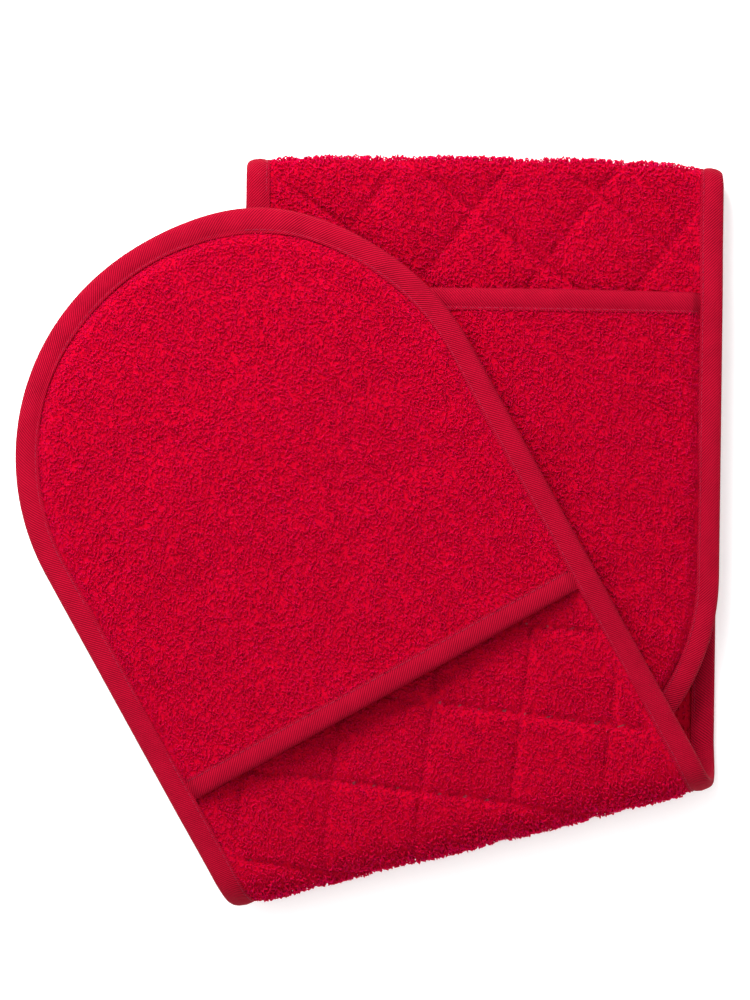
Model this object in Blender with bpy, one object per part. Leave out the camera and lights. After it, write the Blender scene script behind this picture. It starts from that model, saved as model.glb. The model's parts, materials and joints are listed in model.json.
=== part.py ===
"""Double oven glove: one padded terry strip with a hand pocket at each round end, folded in three.

The strip is drawn flat in its own coordinates and laid over two folds.
    across  distance from the strip's centre line
    along   distance along the strip, counted towards a round end
    depth   distance below the hand side, so 0 is the hand side and PADDED the palm side
The middle panel lies hand side down. The tucked end comes over it from the square fold, and the
flap comes over both from the slanting fold. The flap's fold is the hinge.
"""

import math

import bmesh
import bpy
import numpy as np
from mathutils import Matrix, Vector

MM = 0.001

# Cut of the strip, in millimetres
STRIP_WIDTH = 185.0
END_RADIUS = STRIP_WIDTH / 2
FOLD_SPAN = 242.5           # fold axis to fold axis, along the middle panel's centre line
TURN = math.radians(14.8)   # slant of the flap's fold line to the strip
TUCKED_END_CENTRE = 153.6   # square fold's axis to the centre of the tucked round end
FLAP_END_CENTRE = 155.8     # flap's fold axis to the centre of its round end
TUCKED_POCKET_DEPTH = 202.5  # mouth to tip
FLAP_POCKET_DEPTH = 196.0
CELL_GAP = 0.3              # clearance between neighbouring pieces

# Thicknesses, in millimetres
TERRY = 2.0
WADDING = 2.8
PADDED = 2 * TERRY + WADDING + 2 * CELL_GAP
HAND_ROOM = 6.5             # height of the hollow inside a pocket
POCKET_TOP = -(HAND_ROOM + TERRY)
PRESSED = 0.9               # a cloth layer pressed flat under a binding
TAPE = 0.9                  # doubled binding tape
STEP = PRESSED + CELL_GAP

# Bindings, in millimetres
BINDING_WIDTH = 9.0
MOUTH_WIDTH = 8.7
LIP = BINDING_WIDTH + CELL_GAP
TAPE_ROUND = 0.6            # softened outer corner of the tape
MOUTH_INSET = 10.9          # the mouth tape stops this far from the strip's edge
MOUTH_THICK = 2 * TAPE + PRESSED + 2 * CELL_GAP

# Depth of the binding's outer faces: beside a plain strip, and beside a pocket
EDGE_HAND = (0.0, -2.1)
EDGE_PALM = (4.5, 3.6)
COVER_RUN = 18.0            # length over which one changes to the other
MOUTH_MARGIN = 1.0

# Heights of the two folds
LAYER_REST = 0.4            # clearance between panels that lie on each other
SQUARE_AXIS = PADDED + LAYER_REST / 2
TUCKED_TOP = 2 * SQUARE_AXIS - POCKET_TOP
FLAP_AXIS = (PADDED + TUCKED_TOP + LAYER_REST) / 2
FLAP_DRIFT = math.pi * (FLAP_AXIS - PADDED / 2) * math.tan(TURN)

# Distances from the strip's edge at which the layers are shaped, and how far they have risen there
RINGS = (STEP, LIP, 10.6, 13.5, 18.0, 24.0, 40.0, 65.0, END_RADIUS)
SOFT_RISE = ((LIP, 0.0), (10.6, 0.35), (13.5, 0.65), (18.0, 0.88), (24.0, 1.0))
POCKET_RISE = ((LIP, 0.0), (10.6, 0.42), (13.5, 0.55), (18.0, 0.72), (24.0, 0.86), (40.0, 1.0))
WADDING_RINGS = (11.0, 13.5, 18.0, 24.0, 40.0, 65.0, END_RADIUS)
MOUTH_RINGS = (MOUTH_INSET, 13.5, 18.0, 24.0, 40.0, 65.0, END_RADIUS)
END_STEPS = 14              # facets round a half-circle end
FOLD_STEPS = 8              # facets round a fold

SQUARE_TURN = math.pi * SQUARE_AXIS
TUCKED_START = FOLD_SPAN + SQUARE_TURN
TUCKED_CENTRE = TUCKED_START + TUCKED_END_CENTRE
TUCKED_MOUTH = TUCKED_CENTRE + END_RADIUS - TUCKED_POCKET_DEPTH
FLAP_MOUTH = FLAP_END_CENTRE + END_RADIUS - FLAP_POCKET_DEPTH

# The flap's fold line and what it turns the strip's directions into
HINGE_POINT = Vector((0.0, -FOLD_SPAN / 2, FLAP_AXIS))
FOLD_LINE = Vector((math.cos(TURN), math.sin(TURN), 0.0))
FOLD_OUT = Vector((math.sin(TURN), -math.cos(TURN), 0.0))
FLAP_ACROSS = Vector((math.cos(2 * TURN), math.sin(2 * TURN), 0.0))
FLAP_ALONG = Vector((-math.sin(2 * TURN), math.cos(2 * TURN), 0.0))

CRIMSON_TERRY = (0.49, 0.001, 0.022)
PALM_TERRY = (0.40, 0.001, 0.018)
CRIMSON_TAPE = (0.41, 0.004, 0.027)
WADDING_FIBRE = (0.26, 0.034, 0.051)


def clear_scene():
    for old in list(bpy.data.objects):
        bpy.data.objects.remove(old, do_unlink=True)


def fabric(name, colour, roughness):
    material = bpy.data.materials.new(name)
    material.use_nodes = True
    shader = material.node_tree.nodes["Principled BSDF"]
    shader.inputs["Base Color"].default_value = (*colour, 1.0)
    shader.inputs["Roughness"].default_value = roughness
    shader.inputs["Metallic"].default_value = 0.0
    return material


# Where a point of the flat strip lies once it is folded

def on_main(across, along, depth):
    """Middle panel, square fold and tucked end."""
    if along <= FOLD_SPAN:
        return Vector((across, along - FOLD_SPAN / 2, depth))
    if along <= TUCKED_START:
        turned = (along - FOLD_SPAN) / SQUARE_AXIS
        radius = SQUARE_AXIS - depth
        height = SQUARE_AXIS - radius * math.cos(turned)
        return Vector((across, FOLD_SPAN / 2 + radius * math.sin(turned), height))
    return Vector((across, FOLD_SPAN / 2 - (along - TUCKED_START), 2 * SQUARE_AXIS - depth))


def on_flap(across, along, depth):
    """Flap: along is counted from the fold axis."""
    foot = Vector((HINGE_POINT.x, HINGE_POINT.y, 2 * FLAP_AXIS - depth)) - FLAP_DRIFT * FOLD_LINE
    return foot + across * FLAP_ACROSS + along * FLAP_ALONG


def on_fold(across, turned, depth):
    """The slanting fold: turned runs from 0 at the middle panel to pi at the flap."""
    radius = FLAP_AXIS - depth
    slide = across / math.cos(TURN) - FLAP_DRIFT * turned / math.pi
    rise = Vector((0.0, 0.0, -radius * math.cos(turned)))
    return HINGE_POINT + slide * FOLD_LINE + radius * math.sin(turned) * FOLD_OUT + rise


# Depth of each layer, from the distance to the strip's edge

def risen(table, inset):
    return float(np.interp(inset, [row[0] for row in table], [row[1] for row in table]))


def mix(pair, share):
    return pair[0] + (pair[1] - pair[0]) * share


def pocket_share(along, mouth):
    """0 beside a plain strip, 1 beside a pocket."""
    full = mouth - MOUTH_MARGIN
    return float(np.interp(along, [full - COVER_RUN, full], [0.0, 1.0]))


def hand_terry(inset, share):
    pressed = mix((EDGE_HAND[0] + STEP, EDGE_HAND[1] + 2 * STEP), share)
    rise = risen(SOFT_RISE, inset)
    return mix((pressed, 0.0), rise), mix((pressed + PRESSED, TERRY), rise)


def palm_terry(inset, share):
    pressed = mix(EDGE_PALM, share) - STEP
    rise = risen(SOFT_RISE, inset)
    return mix((pressed - PRESSED, PADDED - TERRY), rise), mix((pressed, PADDED), rise)


def wadding(inset, share):
    return hand_terry(inset, share)[1] + CELL_GAP, palm_terry(inset, share)[0] - CELL_GAP


def pocket_outside(inset):
    return mix((EDGE_HAND[1] + STEP, POCKET_TOP), risen(POCKET_RISE, inset))


def pocket_terry(inset, in_tape):
    """in_tape is 1 where the mouth tape presses the cloth flat."""
    outside = pocket_outside(inset)
    thick = mix((PRESSED, TERRY), risen(POCKET_RISE, inset))
    squeeze = in_tape if inset > LIP else 0.0
    return outside + STEP * squeeze, outside + mix((thick, STEP + PRESSED), squeeze)


# Meshes

def add_object(name, bm, material):
    bmesh.ops.remove_doubles(bm, verts=bm.verts, dist=1e-4)
    bmesh.ops.dissolve_degenerate(bm, edges=bm.edges, dist=1e-4)
    bmesh.ops.recalc_face_normals(bm, faces=bm.faces)
    if bm.calc_volume(signed=True) < 0:
        bmesh.ops.reverse_faces(bm, faces=bm.faces)
    bmesh.ops.triangulate(bm, faces=bm.faces)
    bmesh.ops.scale(bm, vec=(MM, MM, MM), verts=bm.verts)
    mesh = bpy.data.meshes.new(name)
    bm.to_mesh(mesh)
    bm.free()
    mesh.shade_smooth()
    mesh.set_sharp_from_angle(angle=math.radians(35))
    mesh.materials.append(material)
    made = bpy.data.objects.new(name, mesh)
    bpy.context.scene.collection.objects.link(made)
    return made


def layer(name, upper, lower, material, folded_in_half):
    """A cloth layer between two grids of points. folded_in_half joins its last column to itself."""
    bm = bmesh.new()
    top = [[bm.verts.new(point) for point in row] for row in upper]
    base = [[bm.verts.new(point) for point in row] for row in lower]
    last_row = len(top) - 1
    last = len(top[0]) - 1
    for i in range(last_row):
        for j in range(last):
            bm.faces.new((top[i][j], top[i + 1][j], top[i + 1][j + 1], top[i][j + 1]))
            bm.faces.new((base[i][j], base[i][j + 1], base[i + 1][j + 1], base[i + 1][j]))
        sides = (0,) if folded_in_half else (0, last)
        for j in sides:
            bm.faces.new((top[i][j], base[i][j], base[i + 1][j], top[i + 1][j]))
    for i in (0, last_row):
        for j in range(last):
            bm.faces.new((top[i][j], top[i][j + 1], base[i][j + 1], base[i][j]))
    return add_object(name, bm, material)


def channel(name, sections, material):
    """A tape folded over an edge: the same closed outline at each station, with capped ends."""
    bm = bmesh.new()
    loops = [[bm.verts.new(point) for point in section] for section in sections]
    count = len(loops[0])
    for i in range(len(loops) - 1):
        for j in range(count):
            k = (j + 1) % count
            bm.faces.new((loops[i][j], loops[i][k], loops[i + 1][k], loops[i + 1][j]))
    bm.faces.new(loops[0])
    bm.faces.new(loops[-1])
    return add_object(name, bm, material)


# Stations round an end: each gives the flat place of a point that far in from the strip's edge

def side_station(side, along):
    def place(inset):
        across = side * (END_RADIUS - inset)
        return across, along(across)
    return place


def end_station(angle, centre):
    def place(inset):
        radius = END_RADIUS - inset
        return -radius * math.cos(angle), centre + radius * math.sin(angle)
    return place


def stations_round(rows, centre):
    """Up the left edge, round the end and back down the right edge."""
    left = [side_station(-1, row) for row in rows]
    turn = [end_station(math.pi * k / END_STEPS, centre) for k in range(1, END_STEPS)]
    right = [side_station(1, row) for row in reversed(rows)]
    return left + turn + right


def straight(along):
    return lambda across: along


def slanting(slope, share, full):
    """Rows that start parallel to the flap's fold line and end square to the strip at full."""
    start = CELL_GAP / math.cos(TURN)
    return lambda across: (slope * across * math.tan(TURN) + start) * (1 - share) + full * share


def rounded_layer(name, stations, rings, depths, folded, material):
    """A layer that ends in a half circle. depths(inset, along) gives its two faces."""
    upper = []
    lower = []
    for place in stations:
        high = []
        low = []
        for inset in rings:
            across, along = place(inset)
            near, far = depths(inset, along)
            high.append(folded(across, along, near))
            low.append(folded(across, along, far))
        upper.append(high)
        lower.append(low)
    return layer(name, upper, lower, material, True)


def tape_outline(hand, palm):
    """The edge binding's section, as distance in from the edge and depth."""
    return (
        (BINDING_WIDTH, hand), (TAPE_ROUND, hand), (0.0, hand + TAPE_ROUND),
        (0.0, palm - TAPE_ROUND), (TAPE_ROUND, palm), (BINDING_WIDTH, palm),
        (BINDING_WIDTH, palm - TAPE), (TAPE, palm - TAPE), (TAPE, hand + TAPE),
        (BINDING_WIDTH, hand + TAPE),
    )


def edge_binding(name, stations, share_at, folded, material):
    sections = []
    for place in stations:
        share = share_at(place(0.0)[1])
        section = []
        for inset, depth in tape_outline(mix(EDGE_HAND, share), mix(EDGE_PALM, share)):
            across, along = place(inset)
            section.append(folded(across, along, depth))
        sections.append(section)
    return channel(name, sections, material)


def mouth_binding(name, mouth, folded, material):
    places = [(-1, inset) for inset in MOUTH_RINGS]
    places += [(1, inset) for inset in reversed(MOUTH_RINGS[:-1])]
    sections = []
    for side, inset in places:
        across = side * (END_RADIUS - inset)
        top = pocket_outside(inset)
        base = top + MOUTH_THICK
        outline = (
            (MOUTH_WIDTH, top), (0.0, top), (0.0, base), (MOUTH_WIDTH, base),
            (MOUTH_WIDTH, base - TAPE), (TAPE, base - TAPE), (TAPE, top + TAPE),
            (MOUTH_WIDTH, top + TAPE),
        )
        sections.append([folded(across, mouth + back, depth) for back, depth in outline])
    return channel(name, sections, material)


def padded_strip(suffix, stations, mouth, folded, cloth):
    """The three layers of the padded strip: hand side, filling and palm side."""
    def share_at(along):
        return pocket_share(along, mouth)

    layers = (
        ("hand_side_terry", RINGS, hand_terry, cloth["terry"]),
        ("wadding", WADDING_RINGS, wadding, cloth["fibre"]),
        ("palm_side_terry", RINGS, palm_terry, cloth["palm"]),
    )
    for kind, rings, shape, material in layers:
        def depths(inset, along, shape=shape):
            return shape(inset, share_at(along))
        rounded_layer(f"{kind}_{suffix}", stations, rings, depths, folded, material)
    edge_binding(f"edge_binding_{suffix}", stations, share_at, folded, cloth["tape"])


def pocket(prefix, mouth, centre, folded, cloth):
    """The single terry layer over the hand, with its taped mouth."""
    tape_end = mouth + MOUTH_WIDTH + CELL_GAP
    swell_end = tape_end + 3.0
    rows = [straight(at) for at in (mouth + STEP, tape_end, swell_end, centre)]

    def depths(inset, along):
        in_tape = float(np.interp(along, [tape_end, swell_end], [1.0, 0.0]))
        return pocket_terry(inset, in_tape)

    stations = stations_round(rows, centre)
    rounded_layer(f"{prefix}_pocket_terry", stations, RINGS, depths, folded, cloth["terry"])
    mouth_binding(f"{prefix}_mouth_binding", mouth, folded, cloth["tape"])


def slanting_fold(cloth):
    """The pieces that bend when the flap is lifted, between the middle panel and the flap."""
    turns = [math.pi * k / FOLD_STEPS for k in range(FOLD_STEPS + 1)]
    layers = (
        ("hand_side_terry_fold", RINGS, hand_terry, cloth["terry"]),
        ("wadding_fold", WADDING_RINGS, wadding, cloth["fibre"]),
        ("palm_side_terry_fold", RINGS, palm_terry, cloth["palm"]),
    )
    for name, rings, shape, material in layers:
        places = [(-1, inset) for inset in rings]
        places += [(1, inset) for inset in reversed(rings[:-1])]
        faces = ([], [])
        for turned in turns:
            for side in (0, 1):
                faces[side].append([
                    on_fold(hand * (END_RADIUS - inset), turned, shape(inset, 0.0)[side])
                    for hand, inset in places
                ])
        layer(name, faces[0], faces[1], material, False)
    for name, hand in (("edge_binding_fold_left", -1), ("edge_binding_fold_right", 1)):
        outline = tape_outline(EDGE_HAND[0], EDGE_PALM[0])
        sections = [
            [on_fold(hand * (END_RADIUS - inset), turned, depth) for inset, depth in outline]
            for turned in turns
        ]
        channel(name, sections, cloth["tape"])


def main_rows():
    rows = [slanting(1, share, 60.0) for share in (0.0, 0.5)]
    rows += [straight(along) for along in (60.0, FOLD_SPAN / 2, 182.0)]
    rows += [straight(FOLD_SPAN + SQUARE_TURN * k / FOLD_STEPS) for k in range(FOLD_STEPS + 1)]
    cover = TUCKED_MOUTH - MOUTH_MARGIN
    rows += [straight(along) for along in (cover - COVER_RUN, cover, TUCKED_CENTRE)]
    return rows


def flap_rows():
    cover = FLAP_MOUTH - MOUTH_MARGIN
    rows = [slanting(-1, share, cover - COVER_RUN) for share in (0.0, 1.0)]
    rows += [straight(along) for along in (cover, FLAP_END_CENTRE)]
    return rows


def hang_flap_on_hinge():
    """Puts the origin of every flap piece on the fold axis, with the flap's empty."""
    hinge = bpy.data.objects.new("flap_hinge", None)
    hinge.location = HINGE_POINT * MM
    bpy.context.scene.collection.objects.link(hinge)
    back = Matrix.Translation(-HINGE_POINT * MM)
    for made in list(bpy.context.scene.objects):
        if made.type == "MESH" and (made.name.endswith("_flap") or made.name.startswith("top_")):
            made.data.transform(back)
            made.parent = hinge


def build():
    clear_scene()
    cloth = {
        "terry": fabric("crimson_terry", CRIMSON_TERRY, 0.95),
        "palm": fabric("palm_terry", PALM_TERRY, 0.95),
        "fibre": fabric("wadding_fibre", WADDING_FIBRE, 1.0),
        "tape": fabric("twill_tape", CRIMSON_TAPE, 0.8),
    }
    main_stations = stations_round(main_rows(), TUCKED_CENTRE)
    padded_strip("main", main_stations, TUCKED_MOUTH, on_main, cloth)
    pocket("tucked", TUCKED_MOUTH, TUCKED_CENTRE, on_main, cloth)
    slanting_fold(cloth)
    padded_strip("flap", stations_round(flap_rows(), FLAP_END_CENTRE), FLAP_MOUTH, on_flap, cloth)
    pocket("top", FLAP_MOUTH, FLAP_END_CENTRE, on_flap, cloth)
    hang_flap_on_hinge()


build()
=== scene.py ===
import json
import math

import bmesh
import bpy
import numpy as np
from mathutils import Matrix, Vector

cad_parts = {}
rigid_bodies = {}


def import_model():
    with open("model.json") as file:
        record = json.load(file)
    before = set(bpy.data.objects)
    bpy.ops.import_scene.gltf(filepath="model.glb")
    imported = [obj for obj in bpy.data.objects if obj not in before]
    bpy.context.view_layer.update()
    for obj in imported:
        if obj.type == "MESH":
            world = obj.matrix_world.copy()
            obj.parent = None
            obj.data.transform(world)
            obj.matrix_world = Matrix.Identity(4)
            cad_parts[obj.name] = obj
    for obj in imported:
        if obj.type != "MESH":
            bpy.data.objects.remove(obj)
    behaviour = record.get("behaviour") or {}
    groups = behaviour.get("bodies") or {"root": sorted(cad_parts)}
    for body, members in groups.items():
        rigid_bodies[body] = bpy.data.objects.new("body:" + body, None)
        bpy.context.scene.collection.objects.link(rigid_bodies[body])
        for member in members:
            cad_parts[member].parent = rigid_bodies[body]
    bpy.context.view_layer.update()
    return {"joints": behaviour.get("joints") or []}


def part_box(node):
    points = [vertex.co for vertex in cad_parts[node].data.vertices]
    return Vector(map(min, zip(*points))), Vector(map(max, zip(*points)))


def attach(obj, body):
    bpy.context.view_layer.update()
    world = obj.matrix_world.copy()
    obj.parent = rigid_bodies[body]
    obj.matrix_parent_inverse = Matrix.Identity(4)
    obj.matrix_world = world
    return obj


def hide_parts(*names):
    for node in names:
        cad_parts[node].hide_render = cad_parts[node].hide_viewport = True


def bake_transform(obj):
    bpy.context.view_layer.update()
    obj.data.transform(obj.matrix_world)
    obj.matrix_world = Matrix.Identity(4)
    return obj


bl_info = {
    "name": "Double Oven Glove",
    "version": (1, 0, 0),
    "blender": (4, 5, 0),
    "location": "3D View > Sidebar > Oven Glove",
    "description": "Dresses the folded double oven glove in terry, twill tape and stitching",
    "category": "Object",
}

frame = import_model()

MM = 0.001
HELD = "folded_panels"
FLAP = "flap"

# The strip's sizes, read from the frame
HINGE = frame["joints"][0]
HINGE_POINT = np.array(HINGE["pos_m"])
FOLD_LINE = np.array(HINGE["axis"]) / np.linalg.norm(HINGE["axis"])
FOLD_OUT = np.array((FOLD_LINE[1], -FOLD_LINE[0], 0.0))
TURN = math.atan2(FOLD_LINE[1], FOLD_LINE[0])
FLAP_AXIS = HINGE_POINT[2]
FLAP_ACROSS = np.array((math.cos(2 * TURN), math.sin(2 * TURN), 0.0))
FLAP_ALONG = np.array((-math.sin(2 * TURN), math.cos(2 * TURN), 0.0))


def corner(node, side, axis):
    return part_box(node)[side][axis]


STRIP_WIDTH = corner("edge_binding_main", 1, 0) - corner("edge_binding_main", 0, 0)
END_RADIUS = STRIP_WIDTH / 2
SQUARE_AXIS = corner("hand_side_terry_main", 1, 2) / 2
SQUARE_FOLD_Y = corner("hand_side_terry_main", 1, 1) - SQUARE_AXIS
FOLD_SPAN = SQUARE_FOLD_Y - HINGE_POINT[1]
PADDED = 2 * FLAP_AXIS - corner("palm_side_terry_flap", 0, 2)
POCKET_TOP = 2 * FLAP_AXIS - corner("top_pocket_terry", 1, 2)
FLAP_DRIFT = math.pi * (FLAP_AXIS - PADDED / 2) * math.tan(TURN)
FLAP_FOOT = HINGE_POINT - FLAP_DRIFT * FOLD_LINE
SQUARE_TURN = math.pi * SQUARE_AXIS
TUCKED_START = FOLD_SPAN + SQUARE_TURN

# Cloth thicknesses, and how far the cut edges of the layers stop inside the edge binding
TAPE = 0.7 * MM
CLOTH = 0.6 * MM
STEP = 1.2 * MM
BINDING_WIDTH = 9.0 * MM
MOUTH_WIDTH = 8.7 * MM
LIP = 9.3 * MM
SEAM_INSET = 1.1 * MM
PILE_EDGE = 8.9 * MM

TUCKED_TIP_Y = corner("tucked_pocket_terry", 0, 1) - STEP
TUCKED_CENTRE = TUCKED_START + SQUARE_FOLD_Y - (TUCKED_TIP_Y + END_RADIUS)
TUCKED_MOUTH = TUCKED_START + SQUARE_FOLD_Y - corner("tucked_mouth_binding", 1, 1)
FLAP_LEFT = corner("top_pocket_terry", 0, 0) - STEP
FLAP_CENTRE = (FLAP_LEFT + END_RADIUS - FLAP_FOOT[0]) / FLAP_ALONG[0]
MOUTH_MIDDLE = (np.array(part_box("top_mouth_binding")[0]) + np.array(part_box("top_mouth_binding")[1])) / 2
FLAP_MOUTH = float((MOUTH_MIDDLE - FLAP_FOOT)[:2] @ FLAP_ALONG[:2]) - MOUTH_WIDTH / 2

# Depth of the binding's outer faces beside a plain strip and beside a pocket
EDGE_HAND = (0.0, -2.1 * MM)
EDGE_PALM = (4.5 * MM, 3.6 * MM)
COVER_RUN = 18.0 * MM
FLAT_TURN = math.pi * (FLAP_AXIS - PADDED / 2) / math.cos(TURN)
SPLIT = FOLD_SPAN / 2
UNDER_MOUTH = 14.0 * MM
DIAMONDS = 3
SIM_FRAMES = 24

UNDER_PILE = 0.2
PALM_PILE = 0.18


def settings():
    return bpy.context.scene.oven_glove


# Where the flat strip lies once folded. across and along are the strip's own coordinates, and
# depth is the distance below its hand side; all are arrays of one shape

def on_main(across, along, depth):
    radius = SQUARE_AXIS - depth
    turned = np.clip((along - FOLD_SPAN) / SQUARE_AXIS, 0, math.pi)
    straight = np.where(along < FOLD_SPAN, along - FOLD_SPAN, 0) - np.maximum(along - TUCKED_START, 0)
    y = SQUARE_FOLD_Y + straight + radius * np.sin(turned)
    reach = np.abs(across / END_RADIUS) ** 3
    sag = np.where(across > 0, settings().right_sag, settings().left_sag)
    y = y - sag * reach * smooth((y - SQUARE_FOLD_Y / 2) * 2 / SQUARE_FOLD_Y)
    return np.stack((across, y, SQUARE_AXIS - radius * np.cos(turned)), axis=-1)


def on_flap(across, along, depth):
    beyond = np.maximum(along - FLAP_CENTRE, 0)
    swell = np.exp(-((np.arctan2(across, beyond + 1e-9) - settings().bulge_turn) / 0.35) ** 2)
    swell = swell * settings().bulge / END_RADIUS * (np.hypot(across, beyond) / END_RADIUS) ** 2
    swell = swell * smooth(beyond / (END_RADIUS / 2))
    across = across * (1 + swell)
    along = along + beyond * swell
    flat = FLAP_FOOT + across[..., None] * FLAP_ACROSS + along[..., None] * FLAP_ALONG
    flat[..., 2] = 2 * FLAP_AXIS - depth
    beyond = np.maximum(-flat[..., 0] - END_RADIUS, 0)
    flat[..., 2] -= settings().droop * (beyond / END_RADIUS) ** 2
    return flat


def on_fold(across, turned, depth):
    radius = FLAP_AXIS - depth
    slide = across / math.cos(TURN) - FLAP_DRIFT * turned / math.pi
    place = HINGE_POINT + slide[..., None] * FOLD_LINE + (radius * np.sin(turned))[..., None] * FOLD_OUT
    place[..., 2] -= radius * np.cos(turned)
    return place


LAY = {"main": on_main, "fold": on_fold, "flap": on_flap}


def spread(start, stop, step, closed=False):
    count = max(2, round(abs(stop - start) / step))
    values = np.linspace(start, stop, count + 1)
    return values if closed else values[:-1]


class Patch:
    """A grid of places on the flat strip: rows along it, columns from its left to its right edge."""

    def __init__(self, rows, columns):
        self.kinds = [kind for kind, _, _ in rows]
        self.across = np.array([columns * half for _, half, _ in rows])
        self.along = np.array([place(across) for (_, _, place), across in zip(rows, self.across)])
        kinds = np.array(self.kinds)[:, None]
        self.on = {kind: np.broadcast_to(kinds == kind, self.across.shape) for kind in LAY}
        self.flat = np.where(
            self.on["main"], self.along,
            np.where(
                self.on["fold"],
                self.across * math.tan(TURN) - self.along / math.pi * FLAT_TURN,
                -FLAT_TURN - self.along,
            ),
        )
        past = np.where(
            self.on["main"], self.along - TUCKED_CENTRE,
            np.where(self.on["flap"], self.along - FLAP_CENTRE, 0),
        )
        self.inset = END_RADIUS - np.hypot(self.across, np.maximum(past, 0))
        cover = np.where(self.on["main"], self.along - TUCKED_MOUTH, self.along - FLAP_MOUTH)
        share = np.clip((cover + COVER_RUN + MM) / COVER_RUN, 0, 1)
        self.share = np.where(self.on["fold"], 0, share)

    def lay(self, depth):
        out = np.zeros((*self.across.shape, 3))
        for kind, place in LAY.items():
            where = self.on[kind]
            if where.any():
                out[where] = place(self.across[where], self.along[where], depth[where])
        return out


def at(value):
    return lambda across: np.full_like(across, value)


def slanted(value, slope, share):
    """From a row square to the strip to one along the slanting fold."""
    return lambda across: value * (1 - share) + slope * across * math.tan(TURN) * share


def rounded_rows(kind, centre, half, step):
    turns = spread(0.0, math.radians(88.5), step / half, closed=True)
    return [(kind, half * math.cos(t), at(centre + half * math.sin(t))) for t in turns]


def flap_half_rows(step, trim, stop=None):
    """From the middle panel's middle, round the slanting fold and up the flap to its tip."""
    half = END_RADIUS - trim
    rows = [("main", half, slanted(SPLIT, 1, share)) for share in spread(0, 1, step / SPLIT)]
    rows += [("fold", half, at(turned)) for turned in spread(0, math.pi, step / FLAP_AXIS)]
    if stop is not None:
        rows += [("flap", half, slanted(stop, -1, s)) for s in spread(1, 0, step / stop, closed=True)]
        return rows
    rows += [("flap", half, slanted(FLAP_CENTRE, -1, s)) for s in spread(1, 0, step / FLAP_CENTRE)]
    return rows + rounded_rows("flap", FLAP_CENTRE, half, step)


def tucked_half_rows(step, trim, stop=None):
    """From the middle panel's middle, round the square fold and down the tucked end to its tip."""
    half = END_RADIUS - trim
    straight_end = TUCKED_CENTRE if stop is None else stop
    rows = [("main", half, at(along)) for along in spread(SPLIT, FOLD_SPAN, step)]
    rows += [("main", half, at(along)) for along in spread(FOLD_SPAN, TUCKED_START, step / 2)]
    last = stop is not None
    rows += [("main", half, at(along)) for along in spread(TUCKED_START, straight_end, step, last)]
    return rows if last else rows + rounded_rows("main", TUCKED_CENTRE, half, step)


def pocket_rows(kind, mouth, centre, step, trim):
    half = END_RADIUS - trim
    rows = [(kind, half, at(along)) for along in spread(mouth, centre, step)]
    return rows + rounded_rows(kind, centre, half, step)


def columns(step):
    return np.linspace(-1, 1, round(STRIP_WIDTH / step) + 1)


# Depths of the cloth faces

def mix(pair, share):
    return pair[0] + (pair[1] - pair[0]) * share


def smooth(value):
    value = np.clip(value, 0, 1)
    return value * value * (3 - 2 * value)


def ripple(place, size, seed):
    """A soft, repeatable unevenness between -1 and 1."""
    total = np.zeros(place.shape[:-1])
    for k in range(5):
        angle = seed + 2.4 * k
        turn = np.array((math.cos(angle), math.sin(angle)))
        wave = 2 * math.pi / (size * (0.7 + 0.23 * k))
        total += np.sin(place[..., :2] @ turn * wave + 1.7 * k + seed)
    return total / 5


def stretched(patch):
    """How far the cloth is round one of the two folds, 1 at the outermost line and 0 away from them."""
    slanting = np.where(patch.on["fold"], patch.along, 0)
    square = np.where(patch.on["main"], (patch.along - FOLD_SPAN) / SQUARE_AXIS, 0)
    return np.sin(np.clip(slanting, 0, math.pi)) + np.sin(np.clip(square, 0, math.pi))


def quilting(patch):
    """How far the terry has swollen, 0 at the stitching to 1, and how near a stitched line is, 0 to 1."""
    glove = settings()
    drift = np.clip(patch.flat / TUCKED_START, 0, 1)
    lines = []
    for k in (0, 1):
        turn = glove.quilt_angle + k * math.pi / 2
        normal = patch.across * math.cos(turn) + patch.flat * math.sin(turn)
        lines.append(normal / glove.quilt_pitch - glove.quilt_phase[k] + glove.quilt_drift[k] * drift)
    near = [glove.quilt_pitch * np.abs(line - np.round(line)) for line in lines]
    crease = np.maximum(*(tight * (1 - np.clip(gap / (2.2 * MM), 0, 1))
                          for tight, gap in zip(glove.quilt_tightness, near)))
    slope = 1 - np.clip(np.minimum(*near) / (0.42 * glove.quilt_pitch), 0, 1)
    blown = SWELL.sample("diamonds", lines[0] % DIAMONDS, lines[1] % DIAMONDS)
    swollen = (1 - slope ** 2) * 0.5 + blown * 0.5
    swollen = 0.45 * swollen + 0.55 * (1 - crease ** 1.1)
    return 1 - (1 - swollen) * (1 - 0.7 * stretched(patch)), crease


def hand_face(patch):
    glove = settings()
    pressed = mix((EDGE_HAND[0] + 0.8 * STEP, EDGE_HAND[1] + 2 * STEP), patch.share)
    puff, _ = quilting(patch)
    inside = glove.pile_height * 0.6 + glove.quilt_depth * (1 - puff)
    return mix((pressed, inside), smooth((patch.inset - LIP) / (7 * MM)))


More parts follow.
